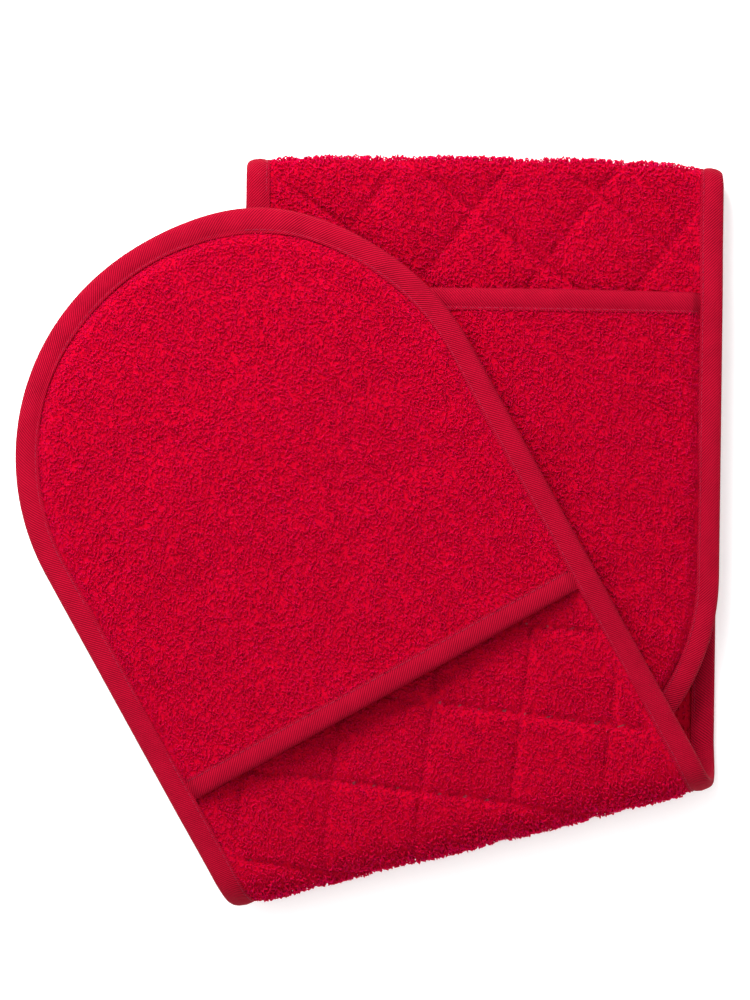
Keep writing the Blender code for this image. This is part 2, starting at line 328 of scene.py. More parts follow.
class Swelling:
    """Cloth panels blown up between their seams by a cloth simulation, and kept as heights."""

    def __init__(self):
        self.panels = {}

    def blow_up(self, name, low, high, step, held):
        """Simulates a flat panel that held() pins, and keeps its height as a share of its highest."""
        counts = [round((high[k] - low[k]) / step) + 1 for k in (0, 1)]
        x, y = np.meshgrid(*(np.linspace(low[k], high[k], counts[k]) for k in (0, 1)), indexing="ij")
        height = self.simulate(name, x, y, held(x, y))
        self.panels[name] = (low, high, height / np.percentile(height, 98))

    def simulate(self, name, x, y, pinned):
        places = np.stack((x, y, np.zeros_like(x)), axis=-1).reshape(-1, 3)
        panel = mesh_object(name, places.tolist(), grid_faces(*x.shape).tolist())
        pins = panel.vertex_groups.new(name="seam")
        pins.add([int(k) for k in np.flatnonzero(pinned.ravel())], 1.0, "REPLACE")
        cloth = panel.modifiers.new("cloth", "CLOTH")
        cloth.settings.quality = 6
        cloth.settings.mass = 0.3
        cloth.settings.vertex_group_mass = "seam"
        cloth.settings.use_pressure = True
        cloth.settings.uniform_pressure_force = -4.0 if panel.data.polygons[0].normal.z < 0 else 4.0
        cloth.settings.shrink_min = -0.03
        cloth.settings.effector_weights.gravity = 0.0
        cloth.collision_settings.use_collision = False
        cloth.point_cache.frame_start = 1
        cloth.point_cache.frame_end = SIM_FRAMES
        for frame_number in range(1, SIM_FRAMES + 1):
            bpy.context.scene.frame_set(frame_number)
        evaluated = panel.evaluated_get(bpy.context.evaluated_depsgraph_get())
        moved = np.empty(len(places) * 3)
        evaluated.data.vertices.foreach_get("co", moved)
        bpy.context.scene.frame_set(1)
        bpy.data.objects.remove(panel)
        return moved.reshape(*x.shape, 3)[..., 2]

    def sample(self, name, x, y):
        low, high, height = self.panels[name]
        size = height.shape
        u = np.clip((x - low[0]) / (high[0] - low[0]) * (size[0] - 1), 0, size[0] - 1.001)
        v = np.clip((y - low[1]) / (high[1] - low[1]) * (size[1] - 1), 0, size[1] - 1.001)
        i, j = u.astype(int), v.astype(int)
        a, b = u - i, v - j
        near = height[i, j] * (1 - a) + height[i + 1, j] * a
        far = height[i, j + 1] * (1 - a) + height[i + 1, j + 1] * a
        return near * (1 - b) + far * b


SWELL = Swelling()


def quilted_stand(patch):
    """How tall the loops stand: none at the quilting, flatter along the binding, spread tall at a fold."""
    _, crease = quilting(patch)
    beside = smooth((patch.inset - LIP) / (4 * MM))
    return (1 - crease ** 1.6) * (0.5 + 0.5 * beside) * (1 + 0.7 * stretched(patch))


def plain_stand(patch):
    return 0.5 + 0.5 * smooth((patch.inset - LIP) / (5 * MM))


def palm_face(patch):
    glove = settings()
    pressed = mix(EDGE_PALM, patch.share) - STEP
    puff, _ = quilting(patch)
    inside = PADDED - glove.pile_height * 0.6 - 0.4 * glove.quilt_depth * (1 - puff)
    return mix((pressed, inside), smooth((patch.inset - LIP) / (13 * MM)))


def pocket_face(patch, mouth):
    glove = settings()
    edge = EDGE_HAND[1] + STEP
    top = POCKET_TOP + glove.pile_height * 0.6
    behind = patch.along - mouth
    name = "top_pocket" if patch.kinds[0] == "flap" else "tucked_pocket"
    rise = 0.45 * smooth((patch.inset - 8.6 * MM) / (4 * MM))
    rise += 0.55 * SWELL.sample(name, patch.across, behind) * smooth((patch.inset - LIP) / (6 * MM))
    flat = np.stack((patch.across, patch.along), axis=-1)
    uneven = 0.5 * MM * ripple(flat, 60 * MM, 1.0) + 0.25 * MM * ripple(flat, 26 * MM, 4.0)
    gape = glove.gape * (1 - (patch.across / END_RADIUS) ** 2) * np.exp(-np.maximum(behind, 0) / (22 * MM))
    return mix((edge, top), rise) + (uneven - gape) * rise


# Mesh making

def mesh_object(name, points, faces):
    mesh = bpy.data.meshes.new(name)
    mesh.from_pydata(points, [], faces)
    mesh.validate()
    made = bpy.data.objects.new(name, mesh)
    bpy.context.scene.collection.objects.link(made)
    mesh.shade_smooth()
    return made


def grid_faces(rows, cols, start=0, flip=False):
    index = np.arange(rows * cols).reshape(rows, cols) + start
    quads = np.stack((index[:-1, :-1], index[:-1, 1:], index[1:, 1:], index[1:, :-1]), axis=-1)
    quads = quads.reshape(-1, 4)
    return quads[:, ::-1] if flip else quads


def face_outward(made):
    """Turns a closed mesh's faces outward."""
    bm = bmesh.new()
    bm.from_mesh(made.data)
    bmesh.ops.recalc_face_normals(bm, faces=bm.faces)
    if bm.calc_volume(signed=True) < 0:
        bmesh.ops.reverse_faces(bm, faces=bm.faces)
    bm.to_mesh(made.data)
    bm.free()


def cloth_shell(name, upper, lower):
    """A closed sheet between two grids of points."""
    rows, cols = upper.shape[:2]
    points = np.concatenate((upper.reshape(-1, 3), lower.reshape(-1, 3)))
    count = rows * cols
    index = np.arange(count).reshape(rows, cols)
    rim = np.concatenate((index[0, :-1], index[:-1, -1], index[-1, :0:-1], index[:0:-1, 0]))
    after = np.roll(rim, -1)
    walls = np.stack((rim, after, after + count, rim + count), axis=-1)
    faces = np.concatenate((grid_faces(rows, cols), grid_faces(rows, cols, count, True), walls[:, ::-1]))
    made = mesh_object(name, points.tolist(), faces.tolist())
    face_outward(made)
    return made


def tube_sections(name, sections, lengths):
    """A closed outline swept through its stations, with capped ends and a UV map in metres."""
    rows, cols = sections.shape[:2]
    points = sections.reshape(-1, 3).tolist()
    faces = []
    places = []
    around = np.concatenate(((0.0,), np.cumsum(np.linalg.norm(
        np.diff(np.concatenate((sections[rows // 2], sections[rows // 2][:1])), axis=0), axis=1))))
    for i in range(rows - 1):
        for j in range(cols):
            k = (j + 1) % cols
            faces.append((i * cols + j, i * cols + k, (i + 1) * cols + k, (i + 1) * cols + j))
            low, high = around[j], around[j + 1]
            places += [(lengths[i], low), (lengths[i], high), (lengths[i + 1], high), (lengths[i + 1], low)]
    for i in (0, rows - 1):
        faces.append([i * cols + j for j in range(cols)])
        places += [(lengths[i], around[j]) for j in range(cols)]
    made = mesh_object(name, points, faces)
    uv = made.data.uv_layers.new(name="tape")
    uv.data.foreach_set("uv", np.array(places, np.float32).ravel())
    face_outward(made)
    return made


# Node trees

def add(tree, kind, attributes=None, values=None, links=None):
    """Adds a node, sets its attributes and inputs, and links outputs to its inputs."""
    node = tree.nodes.new(kind)
    for name, value in (attributes or {}).items():
        setattr(node, name, value)
    for socket, value in (values or {}).items():
        node.inputs[socket].default_value = value
    for socket, source in (links or {}).items():
        tree.links.new(source, node.inputs[socket])
    return node


def linear(code):
    """A six-digit sRGB colour as linear RGBA."""
    parts = [int(code[i:i + 2], 16) / 255 for i in (0, 2, 4)]
    return (*(p / 12.92 if p <= 0.04045 else ((p + 0.055) / 1.055) ** 2.4 for p in parts), 1.0)


def new_material(name):
    material = bpy.data.materials.new(name)
    material.use_nodes = True
    tree = material.node_tree
    return tree, tree.nodes["Principled BSDF"]


def surface(shader, values):
    for name, value in values.items():
        shader.inputs[name].default_value = value


def noise(tree, place, size, values):
    made = add(tree, "ShaderNodeTexNoise", None, {"Scale": 1 / size, **values}, {"Vector": place})
    return made.outputs["Fac"]


def uneven(tree, pattern, broad, share, low, high):
    """A fine pattern with a share of a broad one added, spread over 0 to 1."""
    both = add(tree, "ShaderNodeMath", {"operation": "MULTIPLY_ADD"}, {1: share}, {0: broad, 2: pattern})
    ramp = add(tree, "ShaderNodeMapRange", None, {"From Min": low, "From Max": high},
               {"Value": both.outputs[0]})
    return ramp.outputs[0]


def colour_between(tree, shader, shade, light, factor):
    """Colours the surface between two shades by a pattern."""
    colour = add(tree, "ShaderNodeMix", {"data_type": "RGBA"}, {"A": shade, "B": light}, {"Factor": factor})
    tree.links.new(colour.outputs["Result"], shader.inputs["Base Color"])


def raised(tree, shader, pattern, strength, distance):
    bump = add(tree, "ShaderNodeBump", None, {"Strength": strength, "Distance": distance}, {"Height": pattern})
    tree.links.new(bump.outputs[0], shader.inputs["Normal"])


def cotton_terry(name, shade, light):
    """Looped cotton towelling: matt, and soft in contrast because light goes through the yarn."""
    tree, shader = new_material(name)
    place = add(tree, "ShaderNodeTexCoord").outputs["Object"]
    loop = noise(tree, place, 1.7 * MM, {"Detail": 2.0, "Roughness": 0.6})
    patchy = noise(tree, place, 22 * MM, {"Detail": 2.0})
    factor = uneven(tree, loop, patchy, 0.35, 0.42, 0.92)
    colour_between(tree, shader, linear(shade), linear(light), factor)
    raised(tree, shader, loop, 0.3, 0.4 * MM)
    surface(shader, {
        "Roughness": 0.95, "Specular IOR Level": 0.03, "Sheen Weight": 0.06, "Sheen Roughness": 0.5,
        "Sheen Tint": linear("FF3C66"), "Subsurface Weight": 0.6, "Subsurface Radius": (1.0, 0.3, 0.35),
        "Subsurface Scale": 1.4 * MM})


def twill_tape(name, shade, light, slope):
    """Woven cotton twill: fine slanting ribs, smoother and a little duller than the terry, and darker in the
    grooves between the ribs as painted shade.
    """
    tree, shader = new_material(name)
    place = add(tree, "ShaderNodeUVMap", {"uv_map": "tape"}).outputs["UV"]
    turned = add(tree, "ShaderNodeMapping", None, {"Rotation": (0.0, 0.0, slope)}, {"Vector": place})
    # Real ribs are about 0.5 mm apart, too fine to show from a metre away, so they are drawn at 0.8 mm
    ribs = add(tree, "ShaderNodeTexWave", {"wave_type": "BANDS", "bands_direction": "X"},
               {"Scale": 0.1 * math.pi / (0.8 * MM), "Distortion": 0.6, "Detail": 1.0, "Detail Scale": 2.0},
               {"Vector": turned.outputs[0]}).outputs["Fac"]
    worn = noise(tree, place, 9 * MM, {"Detail": 3.0})
    # The colour follows the ribs: painted shade in the grooves between them, the tape's colour on their tops
    colour_between(tree, shader, linear(shade), linear(light), uneven(tree, ribs, worn, 0.5, 0.05, 1.15))
    raised(tree, shader, ribs, 0.8, 0.3 * MM)
    surface(shader, {"Roughness": 0.75, "Specular IOR Level": 0.04, "Sheen Weight": 0.05,
                     "Sheen Tint": linear("FF4060")})


def plain_fibre(name, code, rough):
    """Spun or carded fibre: dull, with a slightly uneven colour."""
    tree, shader = new_material(name)
    place = add(tree, "ShaderNodeTexCoord").outputs["Object"]
    dark = tuple(0.7 * part for part in linear(code)[:3]) + (1.0,)
    colour_between(tree, shader, dark, linear(code), noise(tree, place, 0.8 * MM, {"Detail": 2.0}))
    surface(shader, {"Roughness": rough, "Specular IOR Level": 0.1})


def cloths():
    """The glove's materials, made once."""
    found = bpy.data.materials
    glove = settings()
    if "cotton_terry" not in found:
        cotton_terry("cotton_terry", glove.terry_shade, glove.terry_light)
        # The ground weave is coloured darker than the loops as painted shade, for the shade in the pits between
        # the loops and in the bare quilting creases
        cotton_terry("cotton_terry_ground_painted_shade", glove.painted_shade_ground_dark, glove.painted_shade_ground_light)
        twill_tape("twill_edge_tape", glove.tape_painted_groove_shade, glove.tape_light, math.radians(45))
        twill_tape("twill_mouth_tape", glove.tape_painted_groove_shade, glove.tape_light, math.radians(-40))
        plain_fibre("polyester_thread", glove.thread_colour, 0.55)
        plain_fibre("polyester_wadding", "8C3440", 1.0)
    return found


def geometry_tree(name, inputs):
    """A node tree with a geometry input and output and the named inputs."""
    tree = bpy.data.node_groups.new(name, "GeometryNodeTree")
    tree.interface.new_socket("Geometry", in_out="INPUT", socket_type="NodeSocketGeometry")
    for label, kind in inputs:
        tree.interface.new_socket(label, in_out="INPUT", socket_type=kind)
    tree.interface.new_socket("Geometry", in_out="OUTPUT", socket_type="NodeSocketGeometry")
    return tree, add(tree, "NodeGroupInput").outputs


def finish_tree(tree, instances, material):
    solid = add(tree, "GeometryNodeRealizeInstances", None, None, {"Geometry": instances})
    round_off = add(tree, "GeometryNodeSetShadeSmooth", None, None, {"Geometry": solid.outputs[0]})
    dressed = add(tree, "GeometryNodeSetMaterial", None, None,
                  {"Geometry": round_off.outputs[0], "Material": material})
    add(tree, "NodeGroupOutput", None, None, {"Geometry": dressed.outputs[0]})


def pile_tree():
    """Terry loops stood on a cloth face, evenly spaced and leaning every way."""
    tree, given = geometry_tree("terry_pile", (
        ("Spacing", "NodeSocketFloat"), ("Loops", "NodeSocketCollection"), ("Kinds", "NodeSocketInt"),
        ("Lean", "NodeSocketFloat"), ("Seed", "NodeSocketInt"), ("Material", "NodeSocketMaterial")))
    stand = add(tree, "GeometryNodeInputNamedAttribute", {"data_type": "FLOAT"}, {"Name": "stand"})
    kept = add(tree, "ShaderNodeMapRange", None, {"From Min": 0.08, "From Max": 0.3},
               {"Value": stand.outputs[0]})
    sown = add(tree, "GeometryNodeDistributePointsOnFaces", {"distribute_method": "POISSON"},
               {"Density Max": 2.0e6},
               {"Mesh": given["Geometry"], "Distance Min": given["Spacing"], "Seed": given["Seed"],
                "Density Factor": kept.outputs[0]})
    less = add(tree, "ShaderNodeMath", {"operation": "MULTIPLY"}, {1: -1.0}, {0: given["Lean"]})
    low = add(tree, "ShaderNodeCombineXYZ", None, {"Z": 0.0}, {"X": less.outputs[0], "Y": less.outputs[0]})
    high = add(tree, "ShaderNodeCombineXYZ", None, {"Z": 2 * math.pi},
               {"X": given["Lean"], "Y": given["Lean"]})
    tilt = add(tree, "FunctionNodeRandomValue", {"data_type": "FLOAT_VECTOR"}, None,
               {0: low.outputs[0], 1: high.outputs[0], "Seed": given["Seed"]})
    spin = add(tree, "FunctionNodeEulerToRotation", None, None, {0: tilt.outputs[0]})
    turned = add(tree, "FunctionNodeRotateRotation", {"rotation_space": "LOCAL"}, None,
                 {0: sown.outputs["Rotation"], 1: spin.outputs[0]})
    kinds = add(tree, "GeometryNodeCollectionInfo", None,
                {"Separate Children": True, "Reset Children": True}, {"Collection": given["Loops"]})
    last = add(tree, "ShaderNodeMath", {"operation": "SUBTRACT"}, {1: 1.0}, {0: given["Kinds"]})
    pick = add(tree, "FunctionNodeRandomValue", {"data_type": "INT"}, {4: 0},
               {5: last.outputs[0], "Seed": given["Seed"]})
    size = add(tree, "FunctionNodeRandomValue", {"data_type": "FLOAT"}, {2: 0.75, 3: 1.25},
               {"Seed": given["Seed"]})
    tall = add(tree, "ShaderNodeMath", {"operation": "MULTIPLY"}, None,
               {0: size.outputs[1], 1: stand.outputs[0]})
    scale = add(tree, "ShaderNodeCombineXYZ", None, None,
                {"X": size.outputs[1], "Y": size.outputs[1], "Z": tall.outputs[0]})
    stood = add(tree, "GeometryNodeInstanceOnPoints", None, {"Pick Instance": True},
                {"Points": sown.outputs["Points"], "Instance": kinds.outputs[0],
                 "Instance Index": pick.outputs[2], "Rotation": turned.outputs[0],
                 "Scale": scale.outputs[0]})
    finish_tree(tree, stood.outputs[0], given["Material"])
    return tree


def stitch_tree():
    """One stitch after another along each line."""
    tree, given = geometry_tree("stitch_row", (
        ("Pitch", "NodeSocketFloat"), ("Stitch", "NodeSocketObject"), ("Material", "NodeSocketMaterial")))
    curve = add(tree, "GeometryNodeMeshToCurve", None, None, {"Mesh": given["Geometry"]})
    steps = add(tree, "GeometryNodeCurveToPoints", {"mode": "LENGTH"}, None,
                {"Curve": curve.outputs[0], "Length": given["Pitch"]})
    one = add(tree, "GeometryNodeObjectInfo", None, None, {"Object": given["Stitch"]})
    wobble = add(tree, "FunctionNodeRandomValue", {"data_type": "FLOAT_VECTOR"},
                 {0: (0.85, 0.85, 0.8), 1: (1.1, 1.1, 1.1)})
    row = add(tree, "GeometryNodeInstanceOnPoints", None, None,
              {"Points": steps.outputs["Points"], "Instance": one.outputs["Geometry"],
               "Rotation": steps.outputs["Rotation"], "Scale": wobble.outputs[0]})
    finish_tree(tree, row.outputs[0], given["Material"])
    return tree


def grown(name, carrier, tree, values):
    """Runs a geometry tree on the carrier and returns the result as a plain mesh object."""
    modifier = carrier.modifiers.new("grow", "NODES")
    modifier.node_group = tree
    for item in tree.interface.items_tree:
        if item.in_out == "INPUT" and item.name in values:
            modifier[item.identifier] = values[item.name]
    graph = bpy.context.evaluated_depsgraph_get()
    graph.update()
    mesh = bpy.data.meshes.new_from_object(carrier.evaluated_get(graph))
    mesh.name = name
    made = bpy.data.objects.new(name, mesh)
    bpy.context.scene.collection.objects.link(made)
    bpy.data.objects.remove(carrier)
    return made


def small_tube(name, path, radius, sides, ends):
    """A short thread along a path, thinner at the ends by the share ends."""
    path = np.array(path, float)
    ahead = np.gradient(path, axis=0)
    points = []
    for i, (middle, forward) in enumerate(zip(path, ahead)):
        forward = Vector(forward).normalized()
        side = forward.cross(Vector((0.3, 0.9, 0.2))).normalized()
        up = side.cross(forward)
        thick = radius * (ends if i in (0, len(path) - 1) else 1.0)
        for k in range(sides):
            angle = 2 * math.pi * k / sides
            points.append(Vector(middle) + thick * (math.cos(angle) * side + math.sin(angle) * up))
    faces = []
    for i in range(len(path) - 1):
        for k in range(sides):
            n = (k + 1) % sides
            faces.append((i * sides + k, i * sides + n, (i + 1) * sides + n, (i + 1) * sides + k))
    faces.append(list(range(sides))[::-1])
    faces.append([(len(path) - 1) * sides + k for k in range(sides)])
    made = mesh_object(name, [tuple(p) for p in points], faces)
    face_outward(made)
    return made


def loop_kinds():
    """The terry loops that the pile is made of, kept in a collection of their own."""
    if "terry_loops" in bpy.data.collections:
        return bpy.data.collections["terry_loops"]
    glove = settings()
    kinds = bpy.data.collections.new("terry_loops")
    shapes = (
        ((-0.7, -0.3, -0.4), (-0.5, 0.5, 0.7), (0.35, 0.45, 1.0), (0.55, -0.45, -0.1)),
        ((-0.95, 0.1, -0.3), (-0.35, -0.3, 0.8), (0.35, 0.3, 1.0), (0.95, -0.1, -0.1)),
        ((-0.4, -0.6, -0.3), (-0.5, 0.4, 0.7), (0.4, 0.5, 1.0), (0.5, -0.2, 0.3)),
        ((-0.85, 0.3, -0.2), (-0.2, 0.35, 0.8), (0.3, -0.35, 0.95), (0.9, 0.0, 0.0)),
    )
    for k, shape in enumerate(shapes):
        path = np.array(shape) * (glove.loop_span, glove.loop_span, glove.pile_height)
        kind = small_tube(f"loop_{k}", path, glove.yarn_radius, 3, 0.8)
        bpy.context.scene.collection.objects.unlink(kind)
        kinds.objects.link(kind)
    return kinds


def pile(name, patch, depth, height, seed, density=1.0, outward=-1):
    """A field of terry loops on one face of the cloth, stood towards less depth or more."""
    glove = settings()
    grid = patch.lay(depth)
    rows, cols = grid.shape[:2]
    carrier = mesh_object(name + "_carrier", grid.reshape(-1, 3).tolist(), grid_faces(rows, cols).tolist())
    stand = carrier.data.attributes.new("stand", "FLOAT", "POINT")
    stand.data.foreach_set("value", np.broadcast_to(height, depth.shape).astype(np.float32).ravel())
    middle = carrier.data.polygons[len(carrier.data.polygons) // 2]
    away = patch.lay(depth + outward * MM) - grid
    if Vector(middle.normal).dot(Vector(away.reshape(-1, 3)[middle.vertices[0]])) < 0:
        carrier.data.flip_normals()
    tree = bpy.data.node_groups.get("terry_pile") or pile_tree()
    spacing = glove.loop_spacing / math.sqrt(density)
    return grown(name, carrier, tree, {
        "Spacing": spacing, "Loops": loop_kinds(), "Kinds": 4, "Lean": glove.loop_lean,
        "Seed": seed, "Material": cloths()["cotton_terry"]})


def stitches(name, lines):
    """Thread stitches along lines of points."""
    points = []
    edges = []
    for line in lines:
        start = len(points)
        points += [tuple(p) for p in line]
        edges += [(start + i, start + i + 1) for i in range(len(line) - 1)]
    mesh = bpy.data.meshes.new(name)
    mesh.from_pydata(points, edges, [])
    carrier = bpy.data.objects.new(name + "_carrier", mesh)
    bpy.context.scene.collection.objects.link(carrier)
    glove = settings()
    half = 0.42 * glove.stitch_pitch
    path = [(0, 0, z * half) for z in (-1.0, -0.75, 0.0, 0.75, 1.0)]
    stitch = small_tube("stitch", path, glove.thread_radius, 5, 0.45)
    tree = bpy.data.node_groups.get("stitch_row") or stitch_tree()
    made = grown(name, carrier, tree, {
        "Pitch": glove.stitch_pitch, "Stitch": stitch, "Material": cloths()["polyester_thread"]})
    bpy.data.objects.remove(stitch)
    return made


def dress(piece, material):
    piece.data.materials.clear()
    piece.data.materials.append(cloths()[material])


def hold(pieces, half):
    """Bakes the flap half's pieces where they lie, and holds the tucked half's still."""
    for piece in pieces:
        if half == "flap":
            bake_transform(piece)
        else:
            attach(piece, HELD)


def nodes_of(layer, half):
    """The CAD nodes that one half of a layer stands for."""
    return (f"{layer}_fold", f"{layer}_flap") if half == "flap" else (f"{layer}_main",)


# Bindings

def tape_outline(hand, palm, width):
    """A folded tape's section: rounded over the edge, dipping at its stitching."""
    face = ((width, 0.45), (width - 0.5 * MM, 0.1), (width - SEAM_INSET, 0.5), (width - 2.0 * MM, 0.0),
            (0.55 * width, -0.35), (2.4 * MM, -0.05), (1.1 * MM, 0.4), (0.3 * MM, 1.15))
    outer = [(inset, hand + drop * MM) for inset, drop in face]
    outer += [(0.0, (hand + palm) / 2)]
    outer += [(inset, palm - drop * MM) for inset, drop in reversed(face)]
    inner = [(max(inset, TAPE) if inset < width else width, hand + drop * MM + TAPE)
             for inset, drop in face if inset > 1.5 * MM]
    inner += [(1.3 * MM, (hand + palm) / 2)]
    inner += [(inset, palm - drop * MM - TAPE) for inset, drop in reversed(face) if inset > 1.5 * MM]
    return outer + inner[::-1]


def edge_route(rows_left, kind, centre, step):
    """Stations along the strip's edge, as (kind, side or angle, along)."""
    left = [(k, -1, place) for k, _, place in rows_left]
    angles = spread(0, math.pi, step / END_RADIUS, closed=True)[1:-1]
    turn = [(kind, angle, centre) for angle in angles]
    right = [(k, 1, place) for k, _, place in reversed(rows_left)]
    return left + turn + right


def station(entry, inset, depth):
    """The place of a point that far in from the edge at a station."""
    kind, where, place = entry
    if callable(place):
        across = np.array(where * (END_RADIUS - inset))
        return LAY[kind](across, np.asarray(place(across)), np.array(depth))
    radius = END_RADIUS - inset
    across = np.array(-radius * math.cos(where))
    return LAY[kind](across, np.array(place + radius * math.sin(where)), np.array(depth))


def station_share(entry):
    kind, where, place = entry
    if kind == "fold":
        return 0.0
    along = float(place(np.array(where * END_RADIUS))) if callable(place) else place
    mouth = FLAP_MOUTH if kind == "flap" else TUCKED_MOUTH
    return float(np.clip((along - mouth + COVER_RUN + MM) / COVER_RUN, 0, 1))


def route_lengths(route):
    middle = np.array([station(entry, 4.5 * MM, 0.0) for entry in route])
    return np.concatenate(((0.0,), np.cumsum(np.linalg.norm(np.diff(middle, axis=0), axis=1))))


def edge_binding(name, route):
    lengths = route_lengths(route)
    sections = []
    for entry, length in zip(route, lengths):
        share = station_share(entry)
        pucker = 0.12 * math.sin(length / (3.1 * MM)) + 0.16 * math.sin(length / (7.3 * MM) + 1)
        sway = 0.25 * math.sin(length / (11 * MM)) + 0.2 * math.sin(length / (27 * MM) + 2)
        outline = tape_outline(mix(EDGE_HAND, share), mix(EDGE_PALM, share), BINDING_WIDTH + sway * MM)
        sections.append([
            station(entry, inset, depth + pucker * MM * smooth(inset / (4 * MM)) * 0.5)
            for inset, depth in outline
        ])
    return tube_sections(name, np.array(sections), lengths)


def seam_lines(route):
    """The edge stitching's line on the hand side and on the palm side."""
    lines = ([], [])
    for entry in route:
        share = station_share(entry)
        inset = BINDING_WIDTH - SEAM_INSET
        lines[0].append(station(entry, inset, mix(EDGE_HAND, share) + 0.4 * MM))
        lines[1].append(station(entry, inset, mix(EDGE_PALM, share) - 0.4 * MM))
    return lines


def size_of(name, description, default):
    return bpy.props.FloatProperty(name=name, description=description, default=default * MM, unit="LENGTH")


def slant(name, description, degrees):
    return bpy.props.FloatProperty(
        name=name, description=description, default=math.radians(degrees), subtype="ANGLE")


def per_set(name, description, default):
    return bpy.props.FloatVectorProperty(name=name, description=description, default=default, size=2)


def hex_colour(name, description, default):
    return bpy.props.StringProperty(name=name, description=description + ", as sRGB hex", default=default)


class OvenGloveSettings(bpy.types.PropertyGroup):
    """Sizes (in millimetres and degrees here) and colours of the glove's cloth."""

    pile_height: size_of("Pile height", "Height of the terry loops", 1.0)
    loop_span: size_of("Loop span", "Half the width of one terry loop", 0.82)
    yarn_radius: size_of("Yarn radius", "Radius of the terry's yarn", 0.25)
    loop_spacing: size_of("Loop spacing", "Least distance between loops", 0.87)
    loop_lean: slant("Loop lean", "Most that a loop leans", 30)
    quilt_pitch: size_of("Quilting pitch", "Distance between quilting lines", 34.3)
    quilt_angle: slant("Quilting angle", "Slant of the first set of lines", 36)
    quilt_phase: per_set(
        "Quilting phase", "Where the two sets of lines start, in pitches", (-0.06, -0.12))
    quilt_drift: per_set(
        "Quilting drift", "How far the lines have strayed at the tucked end, in pitches", (0.26, 0.21))
    quilt_depth: size_of("Quilting depth", "How far the stitching pulls the terry in", 3.1)
    quilt_tightness: per_set(
        "Quilting tightness", "How hard each set of lines is drawn in, 0 to 1", (0.65, 1.0))
    left_sag: size_of("Left sag", "How far the square fold's left corner hangs back", 1.6)
    right_sag: size_of("Right sag", "How far the square fold's right corner hangs back", 3.2)
    bulge: size_of("Bulge", "How far the flap's round end spreads on one side", 3.0)
    bulge_turn: slant("Bulge turn", "Where the bulge is, from the flap's tip", 30)
    gape: size_of("Gape", "How far the pocket mouths stand open", 1.8)
    droop: size_of("Flap droop", "How far the flap's free side sags", 2.5)
    stitch_pitch: size_of("Stitch pitch", "Length of one edge stitch", 3.0)
    thread_radius: size_of("Thread radius", "Radius of the sewing thread", 0.16)
    terry_shade: hex_colour("Terry shade", "Darker terry colour", "B00024")
    terry_light: hex_colour("Terry light", "Lighter terry colour", "BF0230")
    # The ground's two colours are darker than the terry's, as painted shade between the loops
    painted_shade_ground_dark: hex_colour("Ground shade", "Darker colour of the weave under the loops", "A6001C")
    painted_shade_ground_light: hex_colour("Ground light", "Lighter colour of the weave under the loops", "B60024")
    # The darker tape colour is painted shade in the grooves between the twill ribs
    tape_painted_groove_shade: hex_colour("Tape shade", "Darker tape colour", "56000C")
    tape_light: hex_colour("Tape light", "Lighter tape colour", "AE0629")
    thread_colour: hex_colour("Thread colour", "Sewing thread colour", "9C1A38")


def diamonds_held(x, y):
    """The quilting lines of a panel measured in pitches."""
    return (np.abs(x - np.round(x)) < 0.02) | (np.abs(y - np.round(y)) < 0.02)


def pocket_inset(x, y, straight):
    return END_RADIUS - np.hypot(x, np.maximum(y - straight, 0))


class SwellCloth(bpy.types.Operator):
    """Simulates how the wadding swells the quilted diamonds and how the pockets stand off the strip"""

    bl_idname = "oven_glove.swell_cloth"
    bl_label = "Swell the cloth"

    def execute(self, context):
        SWELL.blow_up("diamonds", (0.0, 0.0), (DIAMONDS, DIAMONDS), 0.05, diamonds_held)
        for name, straight in (("top_pocket", FLAP_CENTRE - FLAP_MOUTH),
                               ("tucked_pocket", TUCKED_CENTRE - TUCKED_MOUTH)):
            SWELL.blow_up(
                name, (-END_RADIUS, 0.0), (END_RADIUS, straight + END_RADIUS), 3 * MM,
                lambda x, y, straight=straight: pocket_inset(x, y, straight) < LIP,
            )
        return {"FINISHED"}


class MakeHandSideTerry(bpy.types.Operator):
    """Makes the quilted hand-side terry, in two halves that meet under the middle panel"""

    bl_idname = "oven_glove.hand_side_terry"
    bl_label = "Hand-side terry"

    def execute(self, context):
        step = 1.7 * MM
        across = columns(step)
        for half, make_rows, mouth in (("flap", flap_half_rows, FLAP_MOUTH),
                                       ("tucked", tucked_half_rows, TUCKED_MOUTH)):
            patch = Patch(make_rows(step, STEP), across)
            depth = hand_face(patch)
            cloth = cloth_shell(f"hand_side_terry_{half}_half", patch.lay(depth), patch.lay(depth + CLOTH))
            dress(cloth, "cotton_terry_ground_painted_shade")
            rows = make_rows(step, PILE_EDGE, mouth + UNDER_MOUTH)
            turn = next(k for k, row in enumerate(rows) if row[0] == "fold" or row[2](0.0) >= FOLD_SPAN)
            past = next(k for k, row in enumerate(rows)
                        if row[0] == "flap" or row[0] == "main" and row[2](0.0) >= TUCKED_START)
            parts = (("under", rows[:turn + 1], UNDER_PILE, 11), ("turn", rows[turn:past + 1], 1.0, 12),
                     ("upper", rows[past:], 1.0, 13))
            pieces = []
            for place, some, density, seed in parts:
                seen = Patch(some, across)
                loops = pile(f"hand_side_pile_{half}_{place}", seen, hand_face(seen), quilted_stand(seen),
                             seed + len(half), density)
                pieces.append(loops)
            hold((cloth, *pieces), half)
            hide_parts(*nodes_of("hand_side_terry", half))
        return {"FINISHED"}


